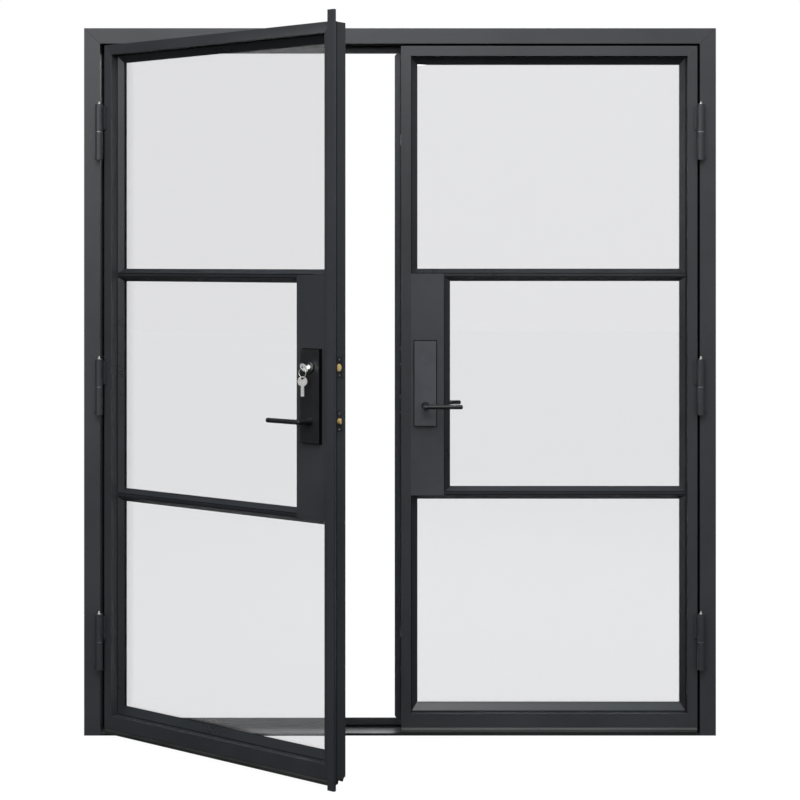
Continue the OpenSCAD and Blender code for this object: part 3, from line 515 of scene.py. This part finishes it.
@dataclass
class Studio:
    """Camera, lights, sky and floor. Lengths are in metres."""

    distance: float = 5.1225
    eye_height: float = 1.371
    lens: float = 78.9
    shift_down: float = -0.1725
    floor_radius: float = 30.0
    floor_sides: int = 64

    def build(self) -> None:
        """Sets the whole studio up."""
        self.camera()
        self.sky()
        for box in SOFT_BOXES:
            box.hang()
        self.floor()

    def camera(self) -> None:
        """Puts the camera level with the doors, square to the frame."""
        data = bpy.data.cameras.new("camera")
        data.lens = self.lens
        data.sensor_width = 36.0
        data.shift_y = self.shift_down
        data.clip_end = 100.0
        cam = bpy.data.objects.new("camera", data)
        cam.location = (0.0, -self.distance, self.eye_height)
        cam.rotation_euler = (math.pi / 2.0, 0.0, 0.0)
        bpy.context.scene.collection.objects.link(cam)
        bpy.context.scene.camera = cam

    def sky(self) -> None:
        """White behind the doors, and a softer dome for their light.

        The dome's brightness is the product of three ramps: with the height
        of the direction, dim near the floor and full overhead; with how far it
        points to the front; and from the dim left to the brighter right.
        """
        world = bpy.data.worlds.new("studio")
        bpy.context.scene.world = world
        world.use_nodes = True
        tree = world.node_tree
        tree.nodes.clear()
        way = add_node(tree, "ShaderNodeTexCoord").outputs["Generated"]
        split = add_node(tree, "ShaderNodeSeparateXYZ", None, {0: way})
        across, height, depth = (split.outputs[axis] for axis in "XZY")
        rise = add_node(tree, "ShaderNodeMapRange", {1: -0.1, 2: 0.8, 3: 0.34, 4: 0.95},
                        {0: height}).outputs[0]
        front = add_node(tree, "ShaderNodeMapRange", {1: -0.3, 2: -1.0, 3: 0.65, 4: 1.75},
                         {0: depth}).outputs[0]
        side = add_node(tree, "ShaderNodeMapRange", {1: -0.8, 2: 0.8, 3: 0.55, 4: 1.35},
                        {0: across}).outputs[0]
        ahead = add_node(tree, "ShaderNodeMath", {"operation": "MULTIPLY"},
                         {0: rise, 1: front}).outputs[0]
        level = add_node(tree, "ShaderNodeMath", {"operation": "MULTIPLY"},
                         {0: ahead, 1: side}).outputs[0]
        cool = add_node(tree, "ShaderNodeMapRange", {1: 0.0, 2: 0.5}, {0: height}).outputs[0]
        blue = add_node(tree, "ShaderNodeMix", {"data_type": "RGBA", 6: (1.0, 1.0, 1.0, 1.0),
                                                7: (0.84, 0.92, 1.0, 1.0)}, {0: cool}).outputs[2]
        seen = seen_directly(tree)
        power = add_node(tree, "ShaderNodeMix", {"data_type": "FLOAT", 3: 1.0},
                         {0: seen, 2: level}).outputs[0]
        tint = add_node(tree, "ShaderNodeMix", {"data_type": "RGBA", 7: (1.0, 1.0, 1.0, 1.0)},
                        {0: seen, 6: blue}).outputs[2]
        back = add_node(tree, "ShaderNodeBackground", None, {"Strength": power, "Color": tint})
        add_node(tree, "ShaderNodeOutputWorld", None, {"Surface": back.outputs[0]})
        bpy.context.scene.view_settings.view_transform = "Standard"

    def floor(self) -> None:
        """Lays a wide floor under the sill: pale where it is seen, dim as a source of light."""
        edge = circle(self.floor_radius, self.floor_sides)
        verts = np.concatenate([edge, np.zeros((self.floor_sides, 1))], axis=1)
        mesh = bpy.data.meshes.new("floor")
        mesh.from_pydata(verts.tolist(), [], [list(range(self.floor_sides))])
        obj = bpy.data.objects.new("floor", mesh)
        bpy.context.scene.collection.objects.link(obj)
        mat = bpy.data.materials.new("pale_studio_floor")
        mat.use_nodes = True
        tree = mat.node_tree
        tree.nodes.clear()
        where = add_node(tree, "ShaderNodeTexCoord").outputs["Object"]
        cloud = add_node(tree, "ShaderNodeTexNoise", {"Scale": 0.8, "Detail": 2.0},
                         {"Vector": where}).outputs["Fac"]
        tone = add_node(tree, "ShaderNodeMix", {"data_type": "RGBA", 6: linear("#29292A"),
                                                7: linear("#2D2D2E")}, {0: cloud}).outputs[2]
        seen = seen_directly(tree)
        paint = add_node(tree, "ShaderNodeMix", {"data_type": "RGBA", 6: linear("#2C2C2D")},
                         {0: seen, 7: tone}).outputs[2]
        glow = add_node(tree, "ShaderNodeMath", {"operation": "MULTIPLY", 1: 0.965},
                        {0: seen}).outputs[0]
        shader = add_node(tree, "ShaderNodeBsdfPrincipled", {"Roughness": 0.9,
                                                             "Emission Color": (1, 1, 1, 1)},
                          {"Base Color": paint, "Emission Strength": glow})
        add_node(tree, "ShaderNodeOutputMaterial", None, {"Surface": shader.outputs[0]})
        mesh.materials.append(mat)


# ---------------------------------------------------------------- frame

@dataclass
class DoorFrame:
    """Jambs, head, sill, stop ring, hinge frame parts and the stop's seal."""

    bulb_middle_mm: float = 3.6
    bulb_half_mm: float = 3.1
    foot_start_mm: float = 0.2
    foot_end_mm: float = 6.8
    foot_mm: float = 2.0

    def build(self) -> None:
        """Dresses the CAD nodes and makes the bulb seal."""
        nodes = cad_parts
        for name, finish, width in (
                ("frame_head", POWDER_COAT, 1.2), ("frame_jamb_left", POWDER_COAT, 1.2),
                ("frame_jamb_right", POWDER_COAT, 1.2), ("frame_stops", POWDER_COAT, 0.5),
                ("frame_sill", SILL_COAT, 0.8)):
            dress(nodes[name], finish)
            soften(nodes[name], width)
        for name in ("left_frame_knuckles", "right_frame_knuckles"):
            dress(nodes[name], POWDER_COAT)
        dress(nodes["hinge_pins"], ZINC)
        self.seal()
        LOG.info("frame dressed")

    def seal(self) -> None:
        """Runs a hollow bulb seal round the stop.

        Its section is a flat foot on the stop and a half round bulb in front:
        depth is the foot's less the bulb's height times the sine of an angle.
        """
        low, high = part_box("frame_seals")
        rect = [low.x / MM, low.z / MM, high.x / MM, high.z / MM]
        front, back = low.y / MM, high.y / MM
        seat = back - self.foot_mm
        turn = np.linspace(0.0, math.pi, 13)
        bulb = np.stack([self.bulb_middle_mm - self.bulb_half_mm * np.cos(turn),
                         seat - (seat - front) * np.sin(turn)], axis=-1)
        foot = np.array([[self.foot_end_mm, seat], [self.foot_end_mm, back],
                         [self.foot_start_mm, back], [self.foot_start_mm, seat]])
        grid = ring_round_rect(np.concatenate([bulb, foot]), rect) * MM
        obj = Shell().grid(grid, wrap_rows=True).piece("stop_bulb_seal")
        add_piece(obj, "frame", EPDM, ["frame_seals"])


# ---------------------------------------------------------------- leaves

@dataclass
class Leaf:
    """One glazed leaf: its steel, glass, beads, gaskets, hinges and sweep."""

    side: Side
    gasket_mm: float = 3.0
    gasket_high_mm: float = 1.6
    gasket_show_mm: float = 0.8
    gasket_lift_mm: float = 0.02
    front_reach_mm: tuple = (18.0, 25.0, 21.5, 13.5)
    rear_reach_mm: tuple = (16.0, 16.0, 16.0, 13.9)
    joint_front_mm: float = 1.5
    joint_back_mm: float = 6.0
    weld_half_mm: float = 0.9
    weld_high_mm: float = 0.25
    weld_root_mm: float = 0.3
    weld_short_mm: float = 1.5

    def __post_init__(self) -> None:
        """Works out where the leaf stands."""
        self.place = LeafPlace(self.side)

    def build(self) -> None:
        """Dresses the CAD nodes and adds the fine parts."""
        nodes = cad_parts
        name = self.side.value
        for part, finish, width in (
                ("hinge_stile", POWDER_COAT, 1.0), ("meeting_stile", POWDER_COAT, 0.8),
                ("top_rail", POWDER_COAT, 1.0), ("bottom_rail", POWDER_COAT, 1.0),
                ("lock_panel", PANEL_COAT if self.side is Side.RIGHT else POWDER_COAT, 0.8),
                ("glazing_bars", BEAD_COAT, 0.6), ("beads", BEAD_COAT, 0.0), ("spacers", WARM_EDGE, 0.0),
                ("leaf_knuckles", POWDER_COAT, 0.0), ("hinge_nipples", NICKEL, 0.0)):
            obj = nodes[f"{name}_{part}"]
            dress(obj, finish)
            if width:
                soften(obj, width)
        dress(nodes[f"{name}_glass"], GLASS)
        self.gaskets()
        self.joints()
        self.welds()
        LOG.info("%s leaf dressed", name)

    def panes(self, side: float, bottom: float, top: float, bar: float) -> list:
        """Gives the edges of the three panes' clear openings, in leaf millimetres.

        Args:
            side: Reach of what holds the glass, inwards from a stile.
            bottom: The same from the bottom rail.
            top: The same from the top rail.
            bar: The same from a glazing bar.

        Returns:
            Left, bottom, right and top of each opening.
        """
        low_edge, high_edge = LEAF_LOW + BOTTOM_RAIL, LEAF_HIGH - STILE
        third = round(2.0 * (high_edge - low_edge) / 3.0) / 2.0
        low_bar, high_bar = low_edge + third, low_edge + 2.0 * third
        left, right = LEAF_START + STILE + side, LEAF_END - STILE - side
        panel = LEAF_END - LOCK_PANEL - side
        web = BAR_FACE / 2.0 + bar
        return [(left, low_edge + bottom, right, low_bar - web),
                (left, low_bar + web, panel, high_bar - web),
                (left, high_bar + web, right, high_edge - top)]

    def gaskets(self) -> None:
        """Lays a rounded rubber wedge in front of and behind each pane.

        The section is a quarter round whose foot lies on the glass: outwards
        by one minus the cosine and off the glass by the sine of an angle. It
        runs a little past the beads in front and past the fins behind.
        """
        turn = np.linspace(0.0, math.pi / 2.0, 6)
        for name, face, sense, reach in (("front", GLASS_FRONT, -1.0, self.front_reach_mm),
                                         ("rear", GLASS_BACK, 1.0, self.rear_reach_mm)):
            wide = self.gasket_mm * (1.0 - np.cos(turn))
            arc = np.stack([-wide, face + sense * self.gasket_high_mm * np.sin(turn)], axis=-1)
            foot = face + sense * self.gasket_lift_mm
            profile = np.concatenate([[[0.0, foot]], arc[1:], [[-self.gasket_mm, foot]]])
            shell = Shell()
            for rect in self.panes(*(part + self.gasket_show_mm for part in reach)):
                shell.grid(self.place.at(ring_round_rect(profile, rect)), wrap_rows=True)
            add_piece(shell.piece(f"{self.side.value}_{name}_gaskets"), self.place.body, EPDM)

    def joints(self) -> None:
        """Fills the groove round each pane's beads with a flat black mastic joint, whose dead black is
        painted shade for the groove's shadow.
        """
        front, back = BEAD_FRONT + self.joint_front_mm, BEAD_FRONT + self.joint_back_mm
        section = np.array([[0.0, back], [0.0, front], [BEAD_GROOVE, front], [BEAD_GROOVE, back]])
        shell = Shell()
        for rect in self.panes(0.0, 0.0, 0.0, 0.0):
            shell.grid(self.place.at(ring_round_rect(section, rect)), wrap_rows=True)
        add_piece(shell.piece(f"{self.side.value}_mastic_and_groove_shade_joints"), self.place.body, SHADED_GROOVE_MASTIC)

    def welds(self) -> None:
        """Adds the ground weld seams on the mitres, in front and behind.

        Each seam is a low half round ridge from corner to corner of the mitre:
        its height goes with the sine of an angle across it.
        """
        corners = [((outer, level), (inner, next_level))
                   for level, next_level in ((LEAF_LOW, LEAF_LOW + BOTTOM_RAIL),
                                             (LEAF_HIGH, LEAF_HIGH - STILE))
                   for outer, inner in ((LEAF_START, LEAF_START + STILE),
                                        (LEAF_END, LEAF_END - STILE))]
        turn = np.linspace(0.0, math.pi, 7)
        shell = Shell()
        for face, sense in ((0.0, -1.0), (LEAF_THICK, 1.0)):
            for start, end in corners:
                first, last = np.array(start), np.array(end)
                way = (last - first) / np.linalg.norm(last - first)
                cross = np.array([-way[1], way[0]]) * self.weld_half_mm
                rows = np.stack([first + way * self.weld_short_mm, last - way * self.weld_short_mm])
                flat = rows[:, None, :] + cross * np.cos(turn)[None, :, None]
                depth = np.repeat((face + sense * self.weld_high_mm * np.sin(turn))[None, :], 2, axis=0)
                ridge = np.stack([flat[..., 0], depth, flat[..., 1]], axis=-1)
                root = ridge[:, [-1, 0]].copy()
                root[..., 1] = face - sense * self.weld_root_mm
                shell.grid(self.place.at(np.concatenate([ridge, root], axis=1)))
        add_piece(shell.piece(f"{self.side.value}_mitre_welds", 60.0), self.place.body, POWDER_COAT)


# ---------------------------------------------------------------- furniture

@dataclass
class Lever:
    """A lever handle: a flared neck turned on the spindle's axis and a round bar."""

    place: LeafPlace
    inside: bool
    spindle_u: float = LEVER_U
    height: float = LEVER_Z
    plate_mm: float = PLATE_OUT
    leaf_mm: float = LEAF_THICK
    reach_mm: float = 47.5
    bar_mm: float = 13.0
    long_mm: float = 107.0
    tail_mm: float = 9.0
    rim_mm: float = 4.5
    neck_mm: float = 7.9
    flare_mm: float = 3.5
    flare_fade_mm: float = 9.0

    def depth(self, out: np.ndarray) -> np.ndarray:
        """Gives v for a distance out from the escutcheon's face."""
        return self.leaf_mm + self.plate_mm + out if self.inside else -self.plate_mm - out

    def neck(self) -> np.ndarray:
        """Grid of the neck: its radius falls from the flare to the bar's half width.

        Radius is the neck's plus the flare times an exponential decay with the
        distance out from the plate.
        """
        out = np.concatenate([[0.3], np.linspace(0.31, self.reach_mm, 22)])
        radius = self.neck_mm + self.flare_mm * np.exp(-((out / self.flare_fade_mm) ** 1.6))
        radius[0] = 1e-3
        radius = np.append(radius, 1e-3)
        out = np.append(out, self.reach_mm + 0.01)
        grid = lathe(np.stack([out, radius], axis=-1), 32)
        return np.stack([self.spindle_u + grid[..., 1], self.depth(grid[..., 0]),
                         self.height + grid[..., 2]], axis=-1)

    def bar(self) -> np.ndarray:
        """Grid of the bar: a rod with softly rounded rims along u."""
        grid = lathe(rounded_ends(self.long_mm + self.tail_mm, self.bar_mm / 2.0, self.rim_mm), 28)
        return np.stack([self.spindle_u + self.tail_mm - grid[..., 0],
                         self.depth(self.reach_mm + grid[..., 1]),
                         self.height + grid[..., 2]], axis=-1)

    def build(self) -> None:
        """Makes the lever and lets it stand for its CAD node."""
        side = self.place.side.value
        face = "inner" if self.inside else "outer"
        shell = Shell().grid(self.place.at(self.neck())).grid(self.place.at(self.bar()))
        add_piece(shell.piece(f"{side}_{face}_lever_handle"), f"{side}_levers", LOCK_BLACK,
                  [f"{side}_{face}_lever"])


def screw_head(radius: float, proud: float, recess: float, cut: float) -> np.ndarray:
    """Grid of a cross-slotted raised head on a polar net.

    Height is a shallow dome that falls with the square of the radius, less the
    recess wherever the point lies within the slot's half width of either axis
    and inside seven tenths of the radius. The rim then drops below the seat.

    Args:
        radius: Radius of the head.
        proud: Height of its middle over the seat.
        recess: Depth of the cross slot.
        cut: Half width of the slot, as a share of the radius.

    Returns:
        Rows from the centre outwards by angle, as (height, x, y).
    """
    part = np.array([0.0, 0.12, 0.24, 0.36, 0.5, 0.62, 0.7, 0.74, 0.86, 0.96, 1.0, 1.0])[:, None]
    turn = np.linspace(0.0, 2.0 * math.pi, 48, endpoint=False)[None, :]
    x, y = part * np.cos(turn), part * np.sin(turn)
    high = proud * (1.0 - 0.45 * part ** 2)
    slot = ((np.abs(x) < cut) | (np.abs(y) < cut)) & (part < 0.72)
    high = np.where(slot, high - recess * (1.0 - 0.5 * part), high)
    high[-1] = -0.4
    return np.stack([high, radius * x, radius * y], axis=-1)


@dataclass
class EdgeScrews:
    """Countersunk screws in a faceplate or strike, four in a column."""

    place: LeafPlace
    node: str
    seat_u: float
    pitch_mm: float
    lock_z: tuple = (LEVER_Z, CYLINDER_Z)
    mid_v: float = 26.0
    head_mm: float = 2.6
    shank_mm: float = 2.0
    long_mm: float = 14.0

    def build(self) -> None:
        """Makes the four screws, head and shank, as one piece."""
        shell = Shell()
        head = screw_head(self.head_mm, 1.0, 0.8, 0.16)
        shank = lathe(np.array([[-self.long_mm, 1e-3], [0.6 - self.long_mm, 0.6 * self.shank_mm],
                                [2.0 - self.long_mm, self.shank_mm], [-0.3, self.shank_mm],
                                [-0.3, 1e-3]]), 16)
        for z in self.lock_z:
            for sense in (-1.0, 1.0):
                centre = z + sense * self.pitch_mm / 2.0
                for grid in (head, shank):
                    uvz = np.stack([self.seat_u + grid[..., 0], self.mid_v + grid[..., 1],
                                    centre + grid[..., 2]], axis=-1)
                    shell.grid(self.place.at(uvz))
        add_piece(shell.piece(f"{self.node}_turned"), self.place.body, ZINC, [self.node])


@dataclass
class Furniture:
    """Locks, plates, levers, bolts, strikes and keys of both leaves."""

    left: LeafPlace
    right: LeafPlace
    shade_band_mm: float = 0.35
    shade_lip_mm: float = 2.2
    shade_band_high_mm: float = 1.2
    shade_band_short_mm: float = 2.2
    faceplate_pitch_mm: float = 41.0
    strike_pitch_mm: float = 44.0
    strike_proud_mm: float = 2.0

    def build(self) -> None:
        """Dresses the CAD hardware and makes the shaped pieces."""
        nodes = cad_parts
        for name, finish, width in (
                ("left_outer_escutcheon", LOCK_BLACK, 1.2),
                ("left_inner_escutcheon", LOCK_BLACK, 1.2),
                ("right_outer_escutcheon", PLATE_COAT, 1.2),
                ("right_inner_escutcheon", LOCK_BLACK, 1.2),
                ("lock_cylinder", CYLINDER_GREY, 1.0), ("cylinder_plug", NICKEL, 0.4),
                ("lock_cases", LOCK_BLACK, 0.3), ("left_spindle", ZINC, 0.3),
                ("right_spindle", ZINC, 0.3), ("latch_bolt", BRASS, 0.5), ("deadbolt", BRASS, 0.8),
                ("thumb_turn", LOCK_BLACK, 1.0), ("strike_plates", LOCK_BLACK, 0.4),
                ("top_flush_bolt", ZINC, 0.6), ("bottom_flush_bolt", ZINC, 0.6),
                ("door_key", NICKEL, 0.3), ("spare_key", NICKEL, 0.3), ("key_ring", NICKEL, 0.0)):
            dress(nodes[name], finish)
            if width:
                soften(nodes[name], width)
        for place in (self.left, self.right):
            Lever(place, inside=False).build()
            Lever(place, inside=True).build()
            self.plate_shade_band(place)
        EdgeScrews(self.left, "faceplate_screws", LEAF_END, self.faceplate_pitch_mm).build()
        EdgeScrews(self.right, "strike_screws", LEAF_END + self.strike_proud_mm,
                   self.strike_pitch_mm).build()
        LOG.info("furniture dressed")

    def plate_shade_band(self, place: LeafPlace) -> None:
        """Lays a dead black band round an outer plate, as painted shade.

        A flat lip of it shows round the plate as a painted shadow on the leaf, and a
        thin band of it climbs the plate's edge to just short of the front as painted
        shade on the plate's side wall.
        """
        half, lip = PLATE_WIDE / 2.0, self.shade_lip_mm
        rect = [LEVER_U - half - lip, PLATE_LOW - lip, LEVER_U + half + lip, PLATE_HIGH + lip]
        foot, top = -0.05, self.shade_band_short_mm - PLATE_OUT
        climb, under = lip - self.shade_band_mm, lip + 1.0
        band = np.array([[0.0, foot], [0.0, -self.shade_band_high_mm], [climb, -self.shade_band_high_mm],
                         [climb, top], [under, top], [under, foot]])
        shell = Shell().grid(place.at(ring_round_rect(band, rect)), wrap_rows=True)
        add_piece(shell.piece(f"{place.side.value}_plate_shade_band"), place.body, PLATE_SHADE_BLACK)


@dataclass
class Sweep:
    """A stepped aluminium carrier under the leaf with four rubber fins."""

    place: LeafPlace
    node: str
    lip_seal: bool = False
    start_u: float = 8.5
    end_u: float = 864.5
    top_z: float = LEAF_LOW - 0.05
    plate_z: float = 21.6
    low_z: float = 9.3
    split_v: tuple = (3.6, 3.7)
    back_v: float = 47.9
    bolt_u: float = 851.0
    bolt_v: float = 26.0
    bolt_clear_mm: float = 6.5
    fins_v: tuple = (5.0, 17.0, 22.8, 43.0)
    fin_feet: tuple = (8.8, 10.6, 11.4, 14.2)
    fin_mm: float = 0.9
    seal_z: tuple = (61.5, 1959.5)
    seal_v: float = 49.5
    seal_wide_mm: float = 2.3
    seal_high_mm: float = 1.9

    def runs(self) -> list:
        """Stretches each side of the floor bolt, or the whole length without one."""
        if not self.lip_seal:
            return [(self.start_u, self.end_u)]
        return [(self.start_u, self.bolt_u - self.bolt_clear_mm),
                (self.bolt_u + self.bolt_clear_mm, self.end_u)]

    def carrier(self) -> bpy.types.Object:
        """Makes the front leg, with a half round nose, and the plate under the leaf."""
        turn = np.linspace(-math.pi / 2.0, math.pi / 2.0, 7)
        nose = np.stack([1.3 - 0.8 * np.cos(turn), 17.6 + 0.8 * np.sin(turn)], axis=-1)
        leg_v, plate_v = self.split_v
        leg = np.concatenate([[[leg_v, self.top_z], [2.4, self.top_z], [2.4, 23.4], [2.2, 23.2]],
                              nose[::-1],
                              [[2.3, 16.6], [2.3, self.low_z], [leg_v, self.low_z]]])
        shell = Shell().grid(self.place.at(strip(leg, (self.start_u, self.end_u), 0)))
        plate = np.array([[plate_v, self.top_z], [plate_v, self.plate_z],
                          [self.back_v, self.plate_z], [self.back_v, self.top_z]])
        for run in self.runs():
            shell.grid(self.place.at(strip(plate, run, 0)))
        return shell.piece(f"{self.place.side.value}_sweep_carrier", 30.0)

    def fins(self) -> bpy.types.Object:
        """Makes the fins, which lean to the front, and on one leaf the rear lip's bulb.

        The bulb is half an ellipse: out from the edge with the sine of an
        angle, and across with its cosine.
        """
        shell = Shell()
        for v, foot in zip(self.fins_v, self.fin_feet):
            lean = np.array([[v, self.plate_z], [v - 0.2, 18.0], [v - 1.4, foot],
                             [v - 1.4 + self.fin_mm, foot - 0.1], [v + self.fin_mm + 0.6, 18.0],
                             [v + self.fin_mm + 1.2, self.plate_z]])
            near_bolt = abs(v - self.bolt_v) < 8.0
            for start, end in self.runs() if near_bolt else [(self.start_u, self.end_u)]:
                shell.grid(self.place.at(strip(lean, (start + 0.5, end - 0.5), 0)))
        if self.lip_seal:
            turn = np.linspace(0.0, math.pi, 9)
            bulb = np.stack([LEAF_END + self.seal_high_mm * np.sin(turn),
                             self.seal_v - self.seal_wide_mm * np.cos(turn)], axis=-1)
            shell.grid(self.place.at(strip(bulb, self.seal_z, 2)))
        return shell.piece(f"{self.place.side.value}_sweep_fins", 40.0)

    def build(self) -> None:
        """Makes carrier and fins, which together stand for the CAD node."""
        add_piece(self.carrier(), self.place.body, SWEEP_GREY, [self.node])
        add_piece(self.fins(), self.place.body, EPDM, [self.node])


@dataclass
class MeetingEdge:
    """Astragal, rear lip, seals and sweeps where the leaves and floor meet."""

    left: LeafPlace
    right: LeafPlace

    def build(self) -> None:
        """Dresses the bars and rubbers of the meeting edge."""
        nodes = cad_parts
        for name, finish, width in (("left_astragal", BAR_COAT, 1.8),
                                    ("right_rear_lip", BAR_COAT, 0.7),
                                    ("left_meeting_seal", EPDM, 0.4)):
            dress(nodes[name], finish)
            soften(nodes[name], width)
        Sweep(self.left, "left_sweep").build()
        Sweep(self.right, "right_leaf_seals", lip_seal=True).build()
        LOG.info("meeting edge dressed")


def main() -> None:
    """Builds the studio and the doors in order."""
    logging.basicConfig(level=logging.INFO, format="%(name)s: %(message)s")
    Studio().build()
    DoorFrame().build()
    left, right = Leaf(Side.LEFT), Leaf(Side.RIGHT)
    left.build()
    right.build()
    Furniture(left.place, right.place).build()
    MeetingEdge(left.place, right.place).build()


if __name__ == "__main__":
    main()
